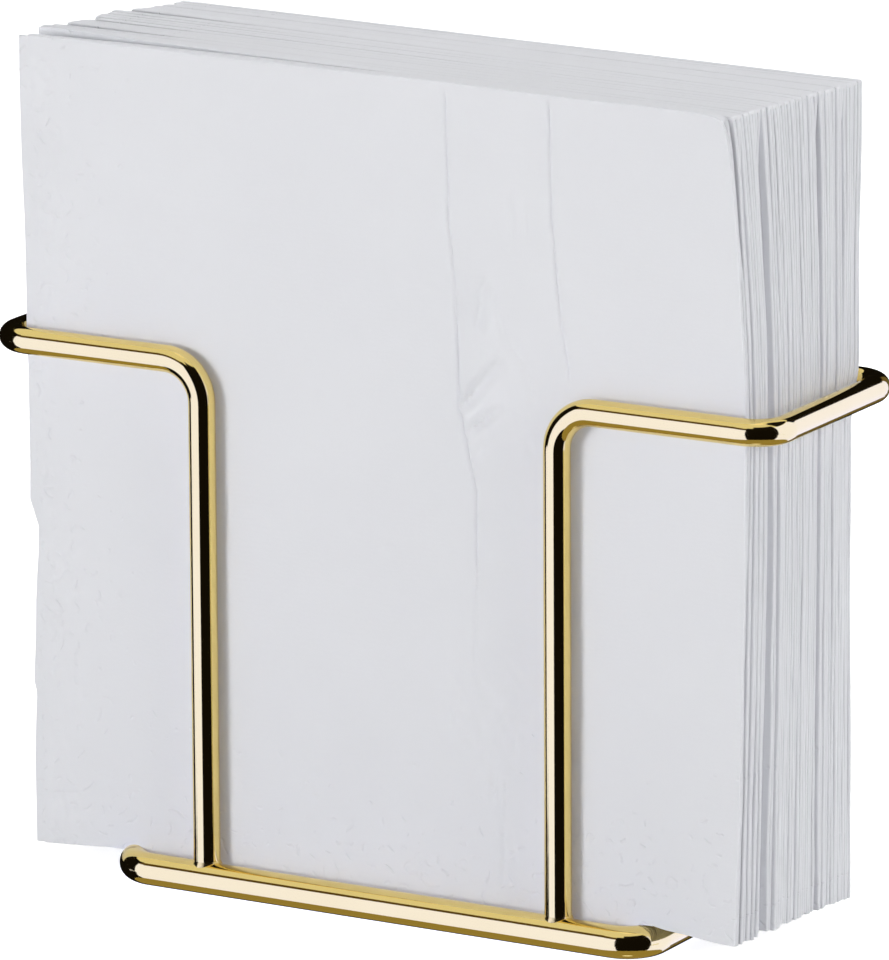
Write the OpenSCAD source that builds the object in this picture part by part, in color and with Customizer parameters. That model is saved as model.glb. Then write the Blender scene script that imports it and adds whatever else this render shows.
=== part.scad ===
// Napkin holder: a bent and welded wire frame that holds a stack of folded paper napkins on edge.
// Millimetres. +X runs along the base ring, -Y faces the user, +Z is up.
// The origin is on the table, under the middle of the base ring.

/* [Napkins] */
// Side of one square napkin, laid out flat
napkin_flat = 300; // [240:5:340]
// Number of napkins in the stack
napkin_count = 24; // [12:1:32]
// Thickness of the paper
paper_t = 0.12; // [0.1:0.01:0.2]
// Air between two leaves of one folded napkin
leaf_gap = 0.36; // [0.2:0.02:0.5]
// Air between two neighbouring napkins
napkin_gap = 0.09; // [0.05:0.01:0.3]

/* [Base ring] */
// Wire diameter of the base ring
ring_wire = 6; // [5:0.5:8]
// Length of the base ring over its wire
ring_length = 115; // [100:1:140]
// Bend radius of the ring's corners, to the middle of the wire
ring_bend = 6; // [5:0.5:10]
// Gap that keeps the napkins' lower edges just clear of the ring
seat_gap = 0.2; // [0.1:0.05:0.5]

/* [Arms] */
// Wire diameter of the two arms
arm_wire = 5; // [4:0.5:5.5]
// Distance between the left and the right uprights, middle to middle
upright_spacing = 74; // [50:1:84]
// Height of the arms above the table, to the middle of the wire
arm_height = 100; // [60:1:130]
// Bend radius between the uprights and the arms, to the middle of the wire
arm_bend = 7.5; // [5:0.5:12]
// Gap between the napkins and the arms' side runs
side_gap = 2.5; // [1:0.5:6]
// Gap between the stack and the uprights, at the front and at the rear
stack_gap = 0.2; // [0.1:0.05:1]
// Distance of the uprights from the crest of the ring's long bars, towards the stack
foot_inset = 1; // [0:0.1:1.5]
// Depth to which the foot of an upright is coped over the ring's wire
foot_cope = 1.5; // [1:0.1:2.5]

/* [Welds] */
// Width of a weld's bead at the lower end of the foot
weld_width = 0.8; // [0.6:0.1:2]
// Height of a weld's bead above the crest of the ring
weld_height = 0.5; // [0.4:0.1:2]
// How far a weld's bead reaches past the middle of the upright, towards the stack
weld_reach = 1.2; // [0.8:0.1:1.6]

/* [Hidden] */
$fn = 96;
// Overlap of cutting shapes past the faces that they cut
cut = 1;

// Folded napkin: four leaves, with the first folds on the right and the second fold at the top
napkin_side = napkin_flat / 2;
napkin_t = 4 * paper_t + 3 * leaf_gap;
napkin_pitch = napkin_t + napkin_gap;
napkin_z = ring_wire + seat_gap;
pair_t = 2 * paper_t + leaf_gap;
pair_offset = (pair_t + leaf_gap) / 2;
fold_end = (napkin_side - napkin_t) / 2;
stack_depth = napkin_count * napkin_pitch;

// Middle lines of the wires
ring_r = ring_wire / 2;
arm_r = arm_wire / 2;
upright_x = upright_spacing / 2;
arm_x = napkin_side / 2 + side_gap + arm_r;
arm_y = stack_depth / 2 + stack_gap + arm_r;
foot_z = ring_wire - foot_cope;
ring_x = ring_length / 2 - ring_r;
ring_y = arm_y + foot_inset;
// The arms' outer corners are bent tighter, so that the stack's corners stay clear of the wire
corner_room = side_gap + stack_gap + sqrt(2 * side_gap * stack_gap);
corner_bend = min(arm_bend, arm_r + 0.85 * corner_room);

gold = [0.90, 0.73, 0.38];
paper_white = [0.93, 0.94, 0.96];

function napkin_name(i) = str("napkin_", i < 10 ? "0" : "", i);

// A frame whose x, y and z axes point along the given unit vectors
module placed(x, y, z, origin) {
    multmatrix([
        [x[0], y[0], z[0], origin[0]],
        [x[1], y[1], z[1], origin[1]],
        [x[2], y[2], z[2], origin[2]],
        [0, 0, 0, 1]
    ])
        children();
}

// Round wire along a path of right-angled corners, with one bend radius for each corner
module bent_wire(path, bends, wire, closed = false) {
    count = len(path);
    runs = closed ? count : count - 1;
    function point(i) = path[i % count];
    function along(i) = (point(i + 1) - point(i)) / norm(point(i + 1) - point(i));
    for (i = [0 : runs - 1]) {
        start = point(i) + bends[i] * along(i);
        end = point(i + 1) - bends[(i + 1) % count] * along(i);
        across = abs(along(i)[2]) > 0.5 ? [1, 0, 0] : [0, 0, 1];
        placed(across, cross(along(i), across), along(i), start)
            cylinder(h = norm(end - start), d = wire);
    }
    for (i = [closed ? 0 : 1 : runs - 1]) {
        before = along((i + count - 1) % count);
        after = along(i);
        placed(-after, before, cross(-after, before), point(i) + bends[i] * (after - before))
            rotate_extrude(angle = 90)
                translate([bends[i], 0])
                    circle(d = wire);
    }
}

// The ring's front and rear bars run through full length, to cope the feet and the welds over them
module ring_bars() {
    for (y = [-ring_y, ring_y])
        translate([-ring_x, y, ring_r])
            rotate([0, 90, 0])
                cylinder(h = 2 * ring_x, r = ring_r);
}

// Closed rounded rectangle of wire that lies on the table
module base_ring() {
    corners = [
        [-ring_x, -ring_y, ring_r],
        [ring_x, -ring_y, ring_r],
        [ring_x, ring_y, ring_r],
        [-ring_x, ring_y, ring_r]
    ];
    color(gold)
        bent_wire(corners, [for (corner = corners) ring_bend], ring_wire, closed = true);
}

// One arm: front upright, outward run, side run, inward run and rear upright. side is -1 or 1
module arm(side) {
    path = [
        [side * upright_x, -arm_y, foot_z],
        [side * upright_x, -arm_y, arm_height],
        [side * arm_x, -arm_y, arm_height],
        [side * arm_x, arm_y, arm_height],
        [side * upright_x, arm_y, arm_height],
        [side * upright_x, arm_y, foot_z]
    ];
    bends = [0, arm_bend, corner_bend, corner_bend, arm_bend, 0];
    color(gold)
        difference() {
            bent_wire(path, bends, arm_wire);
            ring_bars();
        }
}

// Bead of weld metal round the front and sides of one upright's foot, dressed away on the stack's side
module weld(side, face) {
    bead_height = foot_cope + weld_height;
    // The bead's upper end lies a little inside the wire, so that it meets it in a clean line
    tuck = arm_r / 20;
    dressed_y = arm_y - weld_reach;
    color(gold)
        difference() {
            translate([side * upright_x, face * arm_y, foot_z])
                cylinder(h = bead_height, r1 = arm_r + weld_width, r2 = arm_r - tuck);
            translate([side * upright_x, face * arm_y, foot_z - cut])
                cylinder(h = bead_height + 2 * cut, r = arm_r);
            ring_bars();
            translate([-arm_x, -dressed_y, 0])
                cube([2 * arm_x, 2 * dressed_y, arm_height]);
        }
}

// Side view of a strip that is folded back on itself, with the round fold at its +X end
module hairpin(half_t, past = 0) {
    open_end = -napkin_side / 2 - past;
    translate([open_end, -half_t])
        square([fold_end - open_end, 2 * half_t]);
    translate([fold_end, 0])
        circle(half_t);
}

// Side view of one pair of leaves, joined by a round fold at the +Y end
module leaf_pair_profile() {
    pair_r = pair_t / 2;
    translate([-pair_r, 0])
        square([pair_t, napkin_side - pair_r]);
    translate([0, napkin_side - pair_r])
        circle(pair_r);
}

// One sheet folded into quarters, drawn with its first folds at the +Z end. Both pairs of leaves
// then turn round the second fold at the +X end, the outer pair round the inner one
module folded_sheet() {
    outer = napkin_t / 2;
    inner = outer - paper_t - leaf_gap;
    difference() {
        intersection() {
            linear_extrude(napkin_side)
                hairpin(outer);
            union() {
                for (offset_y = [-pair_offset, pair_offset])
                    translate([-napkin_side, offset_y, 0])
                        rotate([90, 0, 90])
                            linear_extrude(2 * napkin_side)
                                leaf_pair_profile();
                translate([fold_end - outer, -outer, 0])
                    cube([2 * napkin_t, napkin_t, napkin_side - outer]);
            }
        }
        translate([0, 0, -cut])
            linear_extrude(napkin_side - pair_t / 2 + cut)
                difference() {
                    hairpin(outer - paper_t, cut);
                    hairpin(inner, 2 * cut);
                }
        translate([0, 0, -cut])
            linear_extrude(napkin_side + 2 * cut)
                hairpin(leaf_gap / 2, cut);
    }
}

// Napkin number i, counted from the front. It stands with its first folds on the right and its second on top
module napkin(i) {
    y = (i - (napkin_count + 1) / 2) * napkin_pitch;
    middle_z = napkin_z + napkin_side / 2;
    color(paper_white)
        placed([0, 0, 1], [0, -1, 0], [1, 0, 0], [-napkin_side / 2, y, middle_z])
            folded_sheet();
}

base_ring();
arm(-1);  // left_arm
arm(1);  // right_arm
weld(-1, -1);  // weld_front_left
weld(1, -1);  // weld_front_right
weld(-1, 1);  // weld_rear_left
weld(1, 1);  // weld_rear_right
for (i = [1 : napkin_count])
    napkin(i);
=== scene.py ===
"""Napkin holder of polished gold-coloured wire with a stack of folded paper napkins."""
import math

import bpy
import numpy as np
from mathutils import Matrix, Vector


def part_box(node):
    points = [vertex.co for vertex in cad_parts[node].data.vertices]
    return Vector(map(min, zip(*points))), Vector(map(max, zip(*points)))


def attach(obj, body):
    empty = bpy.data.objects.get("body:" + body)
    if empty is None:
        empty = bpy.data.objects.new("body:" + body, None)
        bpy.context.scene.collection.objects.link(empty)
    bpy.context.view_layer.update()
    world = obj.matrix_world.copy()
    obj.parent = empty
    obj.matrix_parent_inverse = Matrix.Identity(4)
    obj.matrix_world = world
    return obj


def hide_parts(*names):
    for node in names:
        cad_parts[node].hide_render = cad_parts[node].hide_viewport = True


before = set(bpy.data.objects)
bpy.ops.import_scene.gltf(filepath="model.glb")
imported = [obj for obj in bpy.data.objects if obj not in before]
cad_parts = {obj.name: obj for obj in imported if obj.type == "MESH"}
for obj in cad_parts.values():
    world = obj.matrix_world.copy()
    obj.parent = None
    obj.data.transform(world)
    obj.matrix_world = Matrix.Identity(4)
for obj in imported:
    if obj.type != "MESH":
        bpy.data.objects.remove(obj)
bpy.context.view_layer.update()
mm = 0.001


# Base ring
# One length of 6 mm brass wire, bent into a rounded rectangle and welded shut at its ends.
# It is polished and gold plated, lies on the table and carries the napkins on its two short sides.

class Field:
    """One output socket of a node tree. Its operators add Math nodes, so patterns read as sums."""

    def __init__(self, tree, socket=None):
        self.tree = tree
        self.socket = socket

    def node(self, kind, settings=None, inputs=None, output=0):
        """Adds a node: its settings come first, then its sockets take values or links."""
        made = self.tree.nodes.new(kind)
        for name, value in (settings or {}).items():
            setattr(made, name, value)
        for name, value in (inputs or {}).items():
            if isinstance(value, Field):
                self.tree.links.new(value.socket, made.inputs[name])
            else:
                made.inputs[name].default_value = value
        return Field(self.tree, made.outputs[output])

    def math(self, operation, *values):
        """A Math node of this value, or of the values given, if a tree's own field starts it."""
        values = values if self.socket is None else (self, *values)
        return self.node("ShaderNodeMath", {"operation": operation}, dict(enumerate(values)))

    def mixed(self, low, high):
        """The colour between two others, by this value as the share of the second."""
        colours = {"Factor": self, 6: (*low, 1), 7: (*high, 1)}
        return self.node("ShaderNodeMix", {"data_type": "RGBA"}, colours, output=2)

    def clamped(self):
        """This value, held between 0 and 1."""
        return self.math("MAXIMUM", 0).math("MINIMUM", 1)

    def noise(self, place, scale, detail):
        """Soft random blobs of about 0 to 1 over a place, smaller with a larger scale."""
        inputs = {"Vector": place, "Scale": scale, "Detail": detail}
        return self.node("ShaderNodeTexNoise", inputs=inputs, output="Fac")

    def __add__(self, other):
        return self.math("ADD", other)

    def __radd__(self, other):
        return self + other

    def __sub__(self, other):
        return self.math("SUBTRACT", other)

    def __rsub__(self, other):
        return self * -1 + other

    def __mul__(self, other):
        return self.math("MULTIPLY", other)

    def __rmul__(self, other):
        return self * other


def new_material(name):
    """A material whose Principled shader is ready for its values, and the tree to draw patterns in."""
    material = bpy.data.materials.new(name)
    material.use_nodes = True
    shader = material.node_tree.nodes["Principled BSDF"]
    return material, shader, Field(material.node_tree)


def feed(shader, **inputs):
    """Sets the shader's sockets, named with underscores, to values or links them to fields."""
    for name, value in inputs.items():
        socket = shader.inputs[name.replace("_", " ")]
        if isinstance(value, Field):
            value.tree.links.new(value.socket, socket)
        else:
            socket.default_value = value


def plated_gold(name, dark, light, roughness):
    """Polished plating with faint clouds of tarnish, a fine haze and the slight waves of bent wire."""
    material, shader, field = new_material(name)
    place = field.node("ShaderNodeTexCoord", output="Object")
    clouds = field.noise(place, scale=70, detail=3)
    haze = field.noise(place, scale=900, detail=2)
    waves = field.noise(place, scale=160, detail=1)
    relief = field.node("ShaderNodeBump", inputs={"Strength": 0.06, "Distance": 0.2 * mm, "Height": waves})
    dulling = 0.03
    feed(
        shader,
        Base_Color=clouds.mixed(dark, light),
        Metallic=1,
        Roughness=roughness + clouds * dulling + haze * dulling,
        Normal=relief,
    )
    return material


gold = plated_gold("polished_gold", (0.86, 0.66, 0.235), (0.91, 0.71, 0.27), 0.05)


def finish_node(name, material):
    """Gives a CAD node its finish and smooth shading. Its mesh stays as it is."""
    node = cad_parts[name]
    node.data.materials.clear()
    node.data.materials.append(material)
    node.data.shade_smooth()


finish_node("base_ring", gold)


# Arms
# Two 5 mm wires of the same finish, one the mirror image of the other. Each is bent from a front upright
# into a loop round the napkins' side and down again into a rear upright, and stands on the base ring.

for name in ("left_arm", "right_arm"):
    finish_node(name, gold)


# Welds
# Small beads of weld metal that fix the foot of each upright to the base ring. They were ground back,
# brushed and plated together with the wires, and stay a little duller than these.

dull_gold = plated_gold("brushed_gold", (0.86, 0.63, 0.2), (0.9, 0.68, 0.24), 0.14)
for name in ("weld_front_left", "weld_front_right", "weld_rear_left", "weld_rear_right"):
    finish_node(name, dull_gold)


# Napkins
# Square sheets of soft white tissue, folded on the right and then at the top into quarters of four leaves.
# They stand on edge on the base ring, pinched between the uprights, and fan out a little above the arms.

napkin_names = sorted(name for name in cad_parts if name.startswith("napkin_"))
napkin_count = len(napkin_names)
stack_low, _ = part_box(napkin_names[0])
_, stack_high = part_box(napkin_names[-1])
napkin_pitch = (stack_high.y - stack_low.y) / napkin_count
half_width = stack_high.x
_, ring_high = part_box("base_ring")
arm_low, arm_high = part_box("right_arm")
ring_wire = 6 * mm
arm_wire = 5 * mm
bar_x = ring_high.x - ring_wire / 2
upright_x = arm_low.x + arm_wire / 2
arm_z = arm_high.z - arm_wire / 2

# Soft tissue puffs up: its leaves are drawn thicker than the solids' and with less air between them.
sheet_width = 297.2 * mm
sheet_height = 305 * mm
paper = 0.22 * mm
leaf_pitch = 0.4 * mm
random = np.random.default_rng(24)


def napkin_paper():
    """Soft tissue: cloudy fibres, fine creping and short pressed strokes along the sheet's edges."""
    material, shader, field = new_material("napkin_paper")
    flat = field.node("ShaderNodeUVMap", {"uv_map": "sheet"})
    clouds = field.noise(flat, scale=9, detail=4)
    fibres = field.noise(flat, scale=420, detail=3)
    creping = {"Vector": flat, "Scale": 90, "Distortion": 6, "Detail": 2, "Detail Scale": 3}
    crepe = field.node("ShaderNodeTexWave", {"bands_direction": "Y"}, creping, output="Fac")
    relief_depth = 0.12 * mm
    height = fibres * 0.6 + crepe * 0.15 + clouds * 0.6
    softness = {"Strength": 0.25, "Distance": relief_depth, "Height": height}
    grain = field.node("ShaderNodeBump", inputs=softness)

    # A stroke lies where a first noise passes its middle level. A second noise breaks the strokes up, and
    # fewer are left away from the sheet's border.
    across, down = (field.node("ShaderNodeSeparateXYZ", inputs={0: flat}, output=axis) for axis in "XY")
    edge = field.math("MAXIMUM", (across - 0.5).math("ABSOLUTE"), (down - 0.5).math("ABSOLUTE"))
    border_start = 0.38
    border = ((edge - border_start) * 9).clamped()
    curls = field.noise(flat, scale=75, detail=0)
    breaks = field.noise(flat, scale=140, detail=1)
    thinness = 18
    strokes = (1 - (curls - 0.5).math("ABSOLUTE") * thinness).math("MAXIMUM", 0)
    least_break = 0.8
    pressed = strokes * ((breaks + border * clouds * 0.6 - least_break) * 14).clamped()
    embossing = {"Strength": 1, "Distance": relief_depth, "Height": pressed * -1, "Normal": grain}
    relief = field.node("ShaderNodeBump", inputs=embossing)
    feed(
        shader,
        Base_Color=clouds.mixed((0.862, 0.87, 0.905), (0.892, 0.9, 0.931)),
        Roughness=0.86 + fibres * 0.1,
        Specular_IOR_Level=0,
        Normal=relief,
    )
    return material


tissue = napkin_paper()


def smooth_step(value):
    """0 up to a value of 0 and 1 from a value of 1 on, with a soft rise between."""
    share = np.clip(value, 0, 1)
    return share * share * (3 - 2 * share)


def ripple(x, z, shortest, longest, count=7):
    """A smooth random surface of about -1 to 1 over x and z, made of waves in all directions."""
    total = np.zeros(np.broadcast(x, z).shape)
    for _ in range(count):
        wave = 2 * math.pi / random.uniform(shortest, longest)
        heading = random.uniform(0, math.pi)
        phase = random.uniform(0, 2 * math.pi)
        total += np.sin(wave * (x * math.cos(heading) + z * math.sin(heading)) + phase)
    return total / math.sqrt(2 * count)


# The stack has settled into bunches. Most of the splay opens between them, more so at the open left edges.
# The gaps, and the room that each napkin takes, are weights by which the splay is shared out.
bunch_sizes = [1, 4, 3, 5, 3, 4, 4]
bunch = np.repeat(np.arange(len(bunch_sizes)), bunch_sizes)
left_gaps = [4.0, 3.6, 2.0, 4.6, 0.3, 0.1]
right_gaps = [0.8, 1.0, 0.3, 0.3, 0.6, 0.5]


def fan(bunch_gaps, napkin_room):
    """Where each napkin's front and rear lie in the splay, as shares of it from the front to the rear."""
    steps = []
    for number in range(napkin_count):
        steps.append(napkin_room * random.gamma(4) / 4)
        last_of_bunch = number + 1 < napkin_count and bunch[number + 1] > bunch[number]
        steps.append(bunch_gaps[bunch[number]] if last_of_bunch else 0)
    places = np.concatenate([[0], np.cumsum(steps[:-1])])
    places /= places[-1]
    return places[0::2], places[1::2]


def filled(fan_places):
    """The same splay with the gaps between bunches shared out to the napkins beside them."""
    front, rear = fan_places
    shared = (front[1:] + rear[:-1]) / 2
    return np.concatenate([front[:1], shared]), np.concatenate([shared, rear[-1:]])


left_fan = fan(left_gaps, napkin_room=0.03)
right_fan = fan(right_gaps, napkin_room=0.2)
left_filled = filled(left_fan)
right_filled = filled(right_fan)
# How far the stack's front and rear lean out at the top and belly out below the arms, as (left, right)
# ends, and how far both swell between the uprights.
lean_front = (-2.5 * mm, -7.5 * mm)
lean_rear = (12.5 * mm, 0.7 * mm)
belly_front = (-1 * mm, -4 * mm)
belly_rear = (1.5 * mm, 0.5 * mm)
swell = 0.7 * mm


def stack_y(number, face, x, z, fill):
    """How far back a napkin's front (face 0) or rear (face 1) lies, at each place of the stack."""
    across = np.clip((x + half_width) / (2 * half_width), 0, 1)
    left = left_fan[face][number] * (1 - fill) + left_filled[face][number] * fill
    right = right_fan[face][number] * (1 - fill) + right_filled[face][number] * fill
    share = left * (1 - across) + right * across

    def spread(front, rear):
        front_here = front[0] * (1 - across) + front[1] * across
        rear_here = rear[0] * (1 - across) + rear[1] * across
        return front_here + (rear_here - front_here) * share

    farthest = 1.1
    curve = 1.5
    above = np.clip((z - arm_z) / (stack_high.z - arm_z), 0, farthest) ** curve
    below = np.clip((arm_z - z) / (arm_z - ring_high.z), 0, farthest) ** curve
    outside = smooth_step((np.abs(x) - upright_x) / (half_width - upright_x))
    between = np.clip(1 - (x / (upright_x - 3 * mm)) ** 2, 0, 1) * smooth_step((z - 8 * mm) / (40 * mm))
    pressed = stack_low.y + napkin_pitch * (number + face)
    belly = below * outside * spread(belly_front, belly_rear)
    swelling = between * swell * (2 * share - 1) * (1 - above)
    return pressed + above * spread(lean_front, lean_rear) + belly + swelling


def fold(flat, radius):
    """A sheet bent back on itself: how far each point runs back from the fold, and on which side."""
    quarter = math.pi / 2 * radius
    angle = np.clip(flat / radius, -math.pi / 2, math.pi / 2)
    straight = np.maximum(np.abs(flat) - quarter, 0)
    return radius * (1 - np.cos(angle)) + straight, np.sin(angle)


def ruled(length, step, dense=()):
    """Distances from a fold to the edge that divide a leaf: closer in the fold and in dense bands."""
    bend = np.array([0.08, 0.16, 0.24, 0.32, 0.45, 0.62, 0.8, 1.0, 1.6]) * mm
    place = np.linspace(2.5 * mm, length, 4000)
    rate = np.full(place.shape, 1 / step)
    for low, high, dense_step in dense:
        rate[(place > low) & (place < high)] = 1 / dense_step
    count = np.cumsum(rate) * (place[1] - place[0])
    even = np.linspace(count[0], count[-1], 1 + round(count[-1]))
    return np.concatenate([bend, np.interp(even, count, place)])


def closed_sheet(name, middle, flat_across, flat_down):
    """A mesh of paper thickness round a grid of points, with the sheet's flat places as its map."""
    rows, columns = middle.shape[:2]
    count = rows * columns
    normal = np.cross(np.gradient(middle, axis=1), np.gradient(middle, axis=0))
    normal /= np.linalg.norm(normal, axis=2, keepdims=True)
    points = np.concatenate([middle + normal * paper / 2, middle - normal * paper / 2]).reshape(-1, 3)
    index = np.arange(count).reshape(rows, columns)
    outer = np.stack([index[:-1, :-1], index[:-1, 1:], index[1:, 1:], index[1:, :-1]], -1).reshape(-1, 4)
    faces = [outer, outer[:, ::-1] + count]
    for edge in (index[0, ::-1], index[-1], index[:, 0], index[::-1, -1]):
        faces.append(np.stack([edge[:-1], edge[:-1] + count, edge[1:] + count, edge[1:]], -1))
    mesh = bpy.data.meshes.new(name)
    mesh.from_pydata(points.tolist(), [], np.concatenate(faces).tolist())
    loop_points = np.zeros(len(mesh.loops), np.int32)
    mesh.loops.foreach_get("vertex_index", loop_points)
    flat = np.stack([flat_across, flat_down], -1).reshape(-1, 2) / sheet_width + 0.5
    layer = mesh.uv_layers.new(name="sheet")
    layer.data.foreach_set("uv", flat[loop_points % count].astype(np.float32).ravel())
    mesh.shade_smooth()
    mesh.set_sharp_from_angle(angle=math.radians(50))
    return mesh


def bottom_edge(x, depth_share):
    """Height of the lower edges: pressed up by the ring's side bars, hanging a little lower beside them."""
    left_hang = 1.7 + np.clip((-x - 60 * mm) / (15 * mm), 0, 1)
    right_hang = 0.45 + 1.9 * depth_share ** 3 + 0.5 * smooth_step((x - 62 * mm) / (9 * mm))
    hang = np.where(x < -bar_x, left_hang, np.where(x < bar_x, 1.8, right_hang)) * mm
    dent = np.exp(-(((np.abs(x) - bar_x) / (2.8 * mm)) ** 2))
    return ring_high.z + 0.35 * mm - hang * (1 - dent)


# Creases of the front leaf as (x, z) points from their upper to their lower end, with width and depth. A
# negative depth is a soft ridge. Areas of crinkles are (number, least x, greatest x, least z, greatest z).
# All are in millimetres.
creases = [
    ([(15.7, 157), (14.8, 132), (15.6, 119), (15.7, 98), (19.1, 82), (19, 66)], 0.28, 0.42),
    ([(19.1, 72), (18.5, 47)], 0.35, 0.2),
    ([(37.7, 158), (36, 134), (36.8, 116), (38.3, 103)], 0.28, 0.45),
    ([(23.3, 121), (25.3, 111), (30.2, 104), (31.1, 98)], 0.7, 0.3),
    ([(28.1, 140), (28, 128)], 0.5, 0.2),
    ([(30.9, 138), (30.7, 129)], 0.5, 0.2),
    ([(24, 31), (24.3, 8)], 0.5, 0.2),
    ([(26, 108), (15.5, 95.4)], 1.6, -1.5),
    ([(25, 99.2), (17, 91.6)], 1.4, -1.2),
    ([(23.4, 93.1), (18.6, 87.6)], 1.3, -1.05),
    ([(22.4, 122.5), (20.6, 110.5)], 1.2, -1.1),
]
crinkles = [
    (150, -74, -67, 104, 154), (190, -74, -65, 8, 68), (60, -74, -71, 66, 104), (60, -67, -42, 104, 150),
    (50, 13, 28, 36, 50), (34, -21, 2, 20, 31), (34, 20, 27, 10, 34), (30, 44, 70, 18, 42),
    (30, 5, 12, 118, 132), (24, 17, 31, 86, 110), (20, -20, 10, 56, 100),
]


def wrinkles(x, z):
    """Relief of the front leaf, outwards: creases, ridges, small crinkles and a few shallow dimples."""
    height = np.zeros(x.shape)
    crinkle_width = 0.8 * mm
    dimples = 9
    for points, width, depth in creases:
        path_x, path_z = np.array(points).T[:, ::-1] * mm
        jitter = 0.12 * mm * ripple(0, z, 4 * mm, 16 * mm)
        off = (x + jitter - np.interp(z, path_z, path_x)) / (width * mm)
        ends = smooth_step((path_z[-1] - z) / (3 * mm)) * smooth_step((z - path_z[0]) / (4 * mm))
        uneven = np.clip(1 + 0.45 * ripple(0, z, 6 * mm, 30 * mm), 0.2, 1.6)
        height += depth * mm * ends * uneven * (0.8 * off - 1) * np.exp(-off * off)
    for count, x_low, x_high, z_low, z_high in crinkles:
        for _ in range(count):
            from_x = x - random.uniform(x_low, x_high) * mm
            from_z = z - random.uniform(z_low, z_high) * mm
            heading = random.normal(math.pi / 2, 0.6)
            reach = random.uniform(0.7, 2.0) * mm
            along = (from_x * math.cos(heading) + from_z * math.sin(heading)) / reach
            off = (from_x * math.sin(heading) - from_z * math.cos(heading)) / crinkle_width
            depth = random.uniform(0.1, 0.38) * mm
            height += depth * (off - 0.3) * np.exp(-off * off - along * along)
    for _ in range(dimples):
        from_x = (x - random.uniform(17, 31) * mm) / (random.uniform(1.5, 3.5) * mm)
        from_z = (z - random.uniform(86, 110) * mm) / (random.uniform(2, 5) * mm)
        height += random.uniform(-0.5, 0.3) * mm * np.exp(-from_x * from_x - from_z * from_z)
    height += 0.2 * mm * ripple(x, z, 25 * mm, 60 * mm)
    margin = 4 * mm
    clear = 1 - np.exp(-(((np.abs(x) - upright_x) / margin) ** 2)) * (z < arm_z)
    clear *= 1 - np.exp(-(((z - arm_z) / margin) ** 2)) * (np.abs(x) > upright_x)
    return height * clear


# Some halves lie deeper between their neighbours on the right: (front half, rear half), in millimetres.
deep_set = {1: (0.2, 0.5), 5: (1.3, 1.3), 15: (0.0, 0.8), 20: (0.7, 0.0)}
# Height of the top at the left and the right end, for napkins counted from the front, in millimetres.
top_left = ([0, 1, 2, 5, 8, 13, 16, 23], [157.3, 157.7, 157.1, 156.8, 156.6, 157.0, 156.4, 155.7])
top_right = ([0, 1, 23], [158.3, 157.5, 155.6])
# How far the front napkin's longer leaf is torn back along its left edge, at heights in millimetres.
torn_heights = [4, 20, 32.5, 34.5, 38, 50, 58, 67.5, 69, 130, 150, 158]
torn_back = [0.95, 0.85, 1.0, 0.4, 0.45, 1.0, 1.75, 1.85, 0.1, 0, 0.4, 0.8]
bunch_shift = random.normal(0, 0.1 * mm, len(bunch_sizes))
# Where the right folds of the first and the last napkin lie, how far the rear ones are tucked in below the
# arms, and the share of each top fold's round that is pressed flat.
front_fold_x = 73.7 * mm
rear_fold_x = 75.9 * mm
rear_tuck = 1.7 * mm
top_flattening = 0.8


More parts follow.
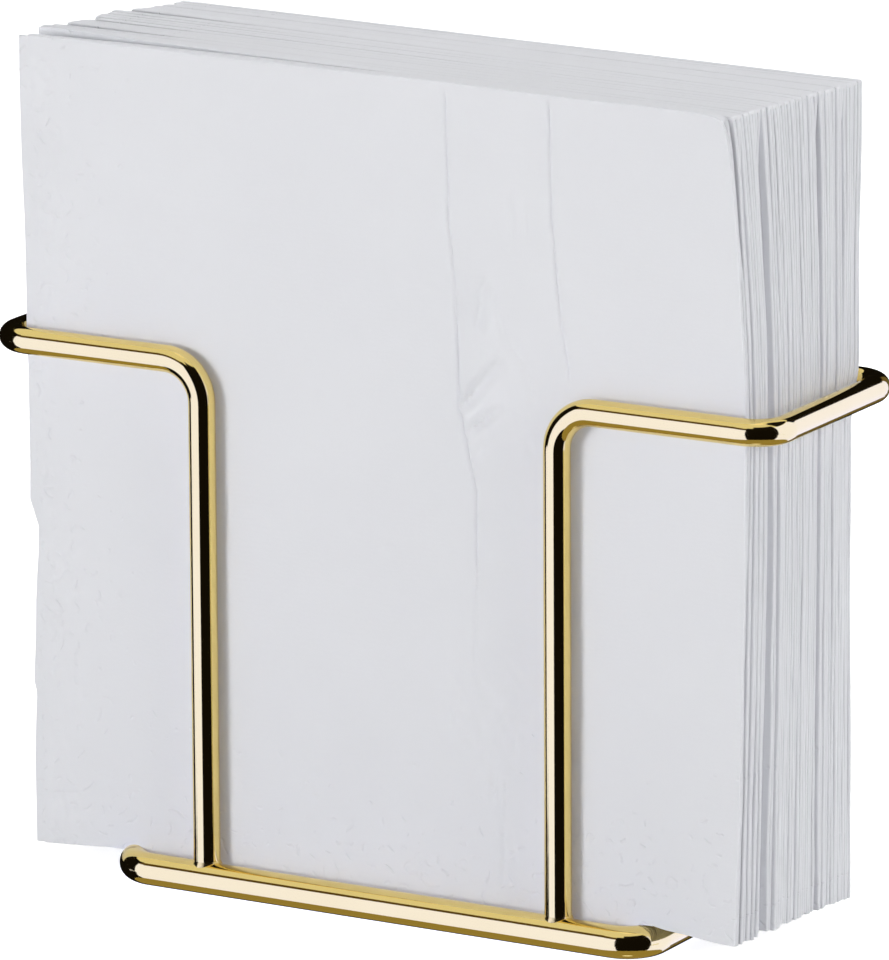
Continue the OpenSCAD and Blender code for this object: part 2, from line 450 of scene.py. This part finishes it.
def napkin_mesh(number, name):
    """One napkin: its sheet, folded on the right and at the top and bent to its place in the stack."""
    first = number == 0
    last = number == napkin_count - 1
    depth_share = number / (napkin_count - 1)
    off_centre = 1.55 * mm if first else random.normal(0, 0.5 * mm)
    half = sheet_width / 2
    # The outer leaves that show are divided finely, and those inside the stack coarsely.
    inner = ruled(half + off_centre, 15 * mm)
    outer = ruled(half - off_centre, 8 * mm)
    front = ruled(sheet_height / 2, 5 * mm)
    rear = ruled(sheet_height / 2, 5 * mm)
    if first:
        bands = [(34, 61, 0.4), (34.9, 38.2, 0.2), (53.9, 59.5, 0.2), (136, 150, 0.5)]
        outer = ruled(half - off_centre, 1.4 * mm, np.array(bands) * mm)
        front = ruled(sheet_height / 2, 0.9 * mm)
    if last:
        outer = ruled(half - off_centre, 2 * mm)
        rear = ruled(sheet_height / 2, 2 * mm)
    across = np.concatenate([-inner[::-1], [0], outer])
    down = np.concatenate([-rear[::-1], [0], front])
    flat_across, flat_down = np.meshgrid(across, down)

    # The first fold, on the right, makes a pair of leaves. The second, at the top, bends that pair.
    side_run, pair_side = fold(flat_across, leaf_pitch / 2)
    turn = leaf_pitch * (1 + pair_side / 2 * (1 + 0.35 * np.exp(-side_run / (3 * mm))))
    top_run, half_side = fold(flat_down, turn)
    front_share = (1 + half_side) / 2

    def by_half(front, rear):
        return front * front_share + rear * (1 - front_share)

    # Across the stack: place of the right fold, with halves that lie askew or deeper than their neighbours.
    shift = 0 if first else bunch_shift[bunch[number]] + random.normal(0, 0.11 * mm)
    skew = by_half(*random.normal(0, 0.17 * mm, 2)) * top_run / (sheet_height / 2)
    deep = by_half(*deep_set.get(number, (0, 0))) * mm * smooth_step(top_run / (12 * mm))
    fold_x = front_fold_x + (rear_fold_x - front_fold_x) * depth_share
    x = fold_x + shift + skew - deep - side_run
    # Up the stack: from the flattened top fold to the lower edge.
    across = (x + half_width) / (2 * half_width)
    left_top, right_top = (np.interp(number, *heights) * mm for heights in (top_left, top_right))
    sag = 0.35 * mm * depth_share * (1 - (2 * across - 1) ** 2)
    top = left_top + (right_top - left_top) * across - sag + random.normal(0, 0.06 * mm) * (not first)
    bottom = bottom_edge(x, depth_share) + by_half(*np.abs(random.normal(0, 0.2 * mm, 2)))
    rounded = top - 1.5 * leaf_pitch + turn
    settled_run = top_run - top_flattening * np.minimum(top_run, turn)
    full_run = sheet_height / 2 - (math.pi / 2 - 1 + top_flattening) * turn
    z = rounded - settled_run * (rounded - bottom) / full_run
    # Worn outlines: rounded corner, wavy folds, ragged open edges and the front leaf's torn one.
    corner_loss = (random.uniform(0.15, 0.5) * (1 - 0.75 * depth_share) + 0.9 * first) * mm
    corner = corner_loss * np.exp(-(top_run + side_run) / (2.2 * mm))
    x = x - corner
    z = z - corner
    waves = by_half(ripple(0, z, 14 * mm, 70 * mm), ripple(0, z, 14 * mm, 70 * mm))
    ragged = ripple(0, z, 10 * mm, 45 * mm) * np.minimum(side_run / half, 1) ** 6
    x = x + 0.16 * mm * waves + 0.3 * mm * ragged
    x = x - rear_tuck * depth_share ** 3 * (1 - smooth_step((z - 92 * mm) / (14 * mm)))
    if first:
        torn = np.interp(z, np.array(torn_heights) * mm, np.array(torn_back) * mm)
        x = x + torn * (side_run / half) ** 8 * (flat_across < 0)

    # Front to rear: each half keeps to its side of the napkin's room in the stack.
    fill = np.exp(-top_run / (5 * mm)) * smooth_step((x + half_width) / (45 * mm))
    before = stack_y(number, 0, x, z, fill)
    after = stack_y(number, 1, x, z, fill)
    room = (after - before) / napkin_pitch
    wander = ripple(x, z, 18 * mm, 90 * mm) * (0.05 * mm + 0.12 * (room - 1) * napkin_pitch)
    puff = 1 + 0.3 * np.exp(-top_run / (2 * mm))
    y = (before + after) / 2 - half_side * turn * (1 + 0.95 * (room - 1)) * puff + wander
    if first:
        y = y - front_share * wrinkles(x, z)

    # A leaf that leans out stands a little lower.
    lean = (before + after) / 2 - (stack_low.y + napkin_pitch * (number + 0.5))
    z = z - np.where(z > arm_z, 0.6 * lean ** 2 / np.maximum(z - arm_z, 20 * mm), 0)
    return closed_sheet(name, np.stack([x, y, z], -1), flat_across, flat_down)


for number, name in enumerate(napkin_names):
    napkin = bpy.data.objects.new(f"paper_{name}", napkin_mesh(number, f"paper_{name}"))
    bpy.context.scene.collection.objects.link(napkin)
    napkin.data.materials.append(tissue)
    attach(napkin, name)
    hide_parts(name)


# Floor and background
# A wide pale table top under the holder, and white all round it.

def white_for_lens(field):
    """1 for rays from the camera, and for those that a mirror or glass passes on."""
    rays = ("Camera", "Glossy", "Transmission")
    lens, mirror, glass = (field.node("ShaderNodeLightPath", output=f"Is {ray} Ray") for ray in rays)
    return field.math("MAXIMUM", field.math("MAXIMUM", lens, mirror), glass)


floor_mesh = bpy.data.meshes.new("floor")
floor_half = 6.0
floor_z = -0.05 * mm
corners = [(-1, -1), (1, -1), (1, 1), (-1, 1)]
floor_mesh.from_pydata([(x * floor_half, y * floor_half, floor_z) for x, y in corners], [], [(0, 1, 2, 3)])
floor = bpy.data.objects.new("floor", floor_mesh)
bpy.context.scene.collection.objects.link(floor)
floor.visible_glossy = False

pale_table, table_shader, table_field = new_material("pale_table")
feed(table_shader, Base_Color=(0.82, 0.82, 0.82, 1), Roughness=0.9, Specular_IOR_Level=0)
table_glow = 0.8
glow = table_field.node("ShaderNodeEmission", inputs={"Color": (1, 1, 1, 1), "Strength": table_glow})
plain = Field(pale_table.node_tree, table_shader.outputs[0])
lit = table_field.node("ShaderNodeAddShader", inputs={0: plain, 1: glow})
shown = table_field.node("ShaderNodeMixShader", inputs={0: white_for_lens(table_field), 1: plain, 2: lit})
output = pale_table.node_tree.nodes["Material Output"]
pale_table.node_tree.links.new(shown.socket, output.inputs["Surface"])
floor_mesh.materials.append(pale_table)

ambient = 0.223
world = bpy.data.worlds.new("white_room")
bpy.context.scene.world = world
world.use_nodes = True
background = world.node_tree.nodes["Background"]
world_field = Field(world.node_tree)
level = ambient + (1 - ambient) * white_for_lens(world_field)
background.inputs["Color"].default_value = (1, 1, 1, 1)
world.node_tree.links.new(level.socket, background.inputs["Strength"])


# Lamps and cards
# A soft key lamp from the front left, a wide fill from the right and a lamp high up behind the stack. Only
# the polished wire reflects the cards round the table: black flags for its dark lines, cool white cards for
# its broad bright bands, and grey and brown ones for the tones between.

def direction(azimuth, elevation):
    """Unit vector towards a place round the object. Azimuth 0 is the front, and 90 is the right side."""
    azimuth, elevation = math.radians(azimuth), math.radians(elevation)
    flat = math.cos(elevation)
    return Vector((math.sin(azimuth) * flat, -math.cos(azimuth) * flat, math.sin(elevation)))


middle = Vector((0, 0, 75 * mm))
lamp_distance = 1.4


def soft_lamp(name, azimuth, elevation, width, height, radiance):
    """A white rectangular lamp that faces the holder. Neither the camera nor the wire sees it."""
    lamp = bpy.data.lights.new(name, "AREA")
    lamp.shape = "RECTANGLE"
    lamp.size = width
    lamp.size_y = height
    lamp.energy = radiance * math.pi * width * height
    holder = bpy.data.objects.new(name, lamp)
    bpy.context.scene.collection.objects.link(holder)
    holder.location = middle + direction(azimuth, elevation) * lamp_distance
    holder.rotation_euler = direction(azimuth, elevation).to_track_quat("Z", "Y").to_euler()
    holder.visible_camera = False
    holder.visible_glossy = False


soft_lamp("key_lamp", azimuth=-17, elevation=9.5, width=0.4, height=0.35, radiance=18.1)
soft_lamp("fill_lamp", azimuth=82, elevation=18, width=1.0, height=0.8, radiance=2.82)
soft_lamp("top_lamp", azimuth=180, elevation=50, width=0.8, height=0.8, radiance=5.6)

# What the wire throws on the paper: blue enough to land neutral after the gold's own colour, and stronger
# from the cards on the key lamp's side, the left, than from those on the right.
spill = (0.96, 1.3, 4.8)
spill_swing = 0.6


def card(name, azimuths, elevations, tone, distance=3.0):
    """A curved card far round the object that only reflections see, by its range of angles."""
    steps = 24
    points = []
    for azimuth in np.linspace(*azimuths, steps + 1):
        for elevation in elevations:
            rise = math.tan(math.radians(elevation))
            points.append(middle + (direction(azimuth, 0) + Vector((0, 0, rise))) * distance)
    faces = [(2 * i, 2 * i + 2, 2 * i + 3, 2 * i + 1) for i in range(steps)]
    mesh = bpy.data.meshes.new(name)
    mesh.from_pydata(points, [], faces)
    material, _, field = new_material(name)
    tree = material.node_tree
    on_paper = field.node("ShaderNodeLightPath", output="Diffuse Depth").math("GREATER_THAN", 0.5)
    thrown = [level * (1 - spill_swing * np.sign(sum(azimuths))) for level in spill]
    glow = field.node("ShaderNodeEmission", inputs={"Color": on_paper.mixed(tone, thrown), "Strength": 1})
    tree.links.new(glow.socket, tree.nodes["Material Output"].inputs["Surface"])
    mesh.materials.append(material)
    piece = bpy.data.objects.new(name, mesh)
    bpy.context.scene.collection.objects.link(piece)
    piece.visible_camera = False
    piece.visible_diffuse = False
    piece.visible_shadow = False
    piece.visible_transmission = False


black = (0.006, 0.005, 0.004)
cool_white = (1.06, 1.21, 2.55)
pale_grey = (0.80, 0.80, 0.76)
# The low card under the table stands in for the table as the wire reflects it. Its tone is a painted
# reflection of the table in shade round the holder, dimmer and warmer than the pale table itself.
shaded_table_reflection = (0.32, 0.265, 0.10)
brown = (0.16, 0.13, 0.06)
dark_brown = (0.10, 0.07, 0.03)
card("ceiling", (-180, 180), (44, 80), pale_grey, distance=3.2)
card("low_card", (-180, 180), (-84, -46), shaded_table_reflection)
card("front_left_card", (-53, 0), (-46, 30), cool_white)
card("left_strip", (-72, -53), (-17, -11), cool_white, distance=2.9)
card("right_card", (84, 150), (-46, 45), cool_white)
card("right_strip", (84, 104), (-20, -9), pale_grey, distance=2.9)
card("rear_right_card", (150, 168), (-46, 25), cool_white)
card("front_flag", (0, 18), (-46, 46), black)
card("front_right_flag", (18, 84), (-46, 58), black)
card("upper_front_flag", (-53, 0), (30, 43), dark_brown)
card("left_flag", (-155, -53), (-46, 43), black)
card("upper_right_flag", (95, 160), (46, 75), black)
card("upper_rear_flag", (150, 205), (25, 44), black)
card("rear_flag", (168, 188), (-46, 25), brown)
card("rear_left_flag", (188, 205), (-46, 25), black)


# Camera
# A long lens at the photograph's viewing angle: from the front right, looking a little down.

camera_azimuth = 29.965
camera_elevation = 13.933
camera_roll = -0.339
camera_distance = 1.8224
image_width = 889
focal_pixels = 10000
aim = Vector((0.89 * mm, 0, 77.67 * mm))

camera = bpy.data.cameras.new("camera")
camera.sensor_fit = "HORIZONTAL"
camera.sensor_width = 36
camera.lens = camera.sensor_width * focal_pixels / image_width
camera.clip_start = 0.1
camera.clip_end = 50
viewer = bpy.data.objects.new("camera", camera)
bpy.context.scene.collection.objects.link(viewer)
toward_viewer = direction(camera_azimuth, camera_elevation)
level_right = Vector((0, 0, 1)).cross(toward_viewer).normalized()
level_up = toward_viewer.cross(level_right)
roll = math.radians(camera_roll)
right = level_right * math.cos(roll) + level_up * math.sin(roll)
up = toward_viewer.cross(right)
axes = Matrix((right, up, toward_viewer)).transposed().to_4x4()
viewer.matrix_world = Matrix.Translation(aim + toward_viewer * camera_distance) @ axes
bpy.context.scene.camera = viewer
bpy.context.scene.view_settings.view_transform = "Standard"
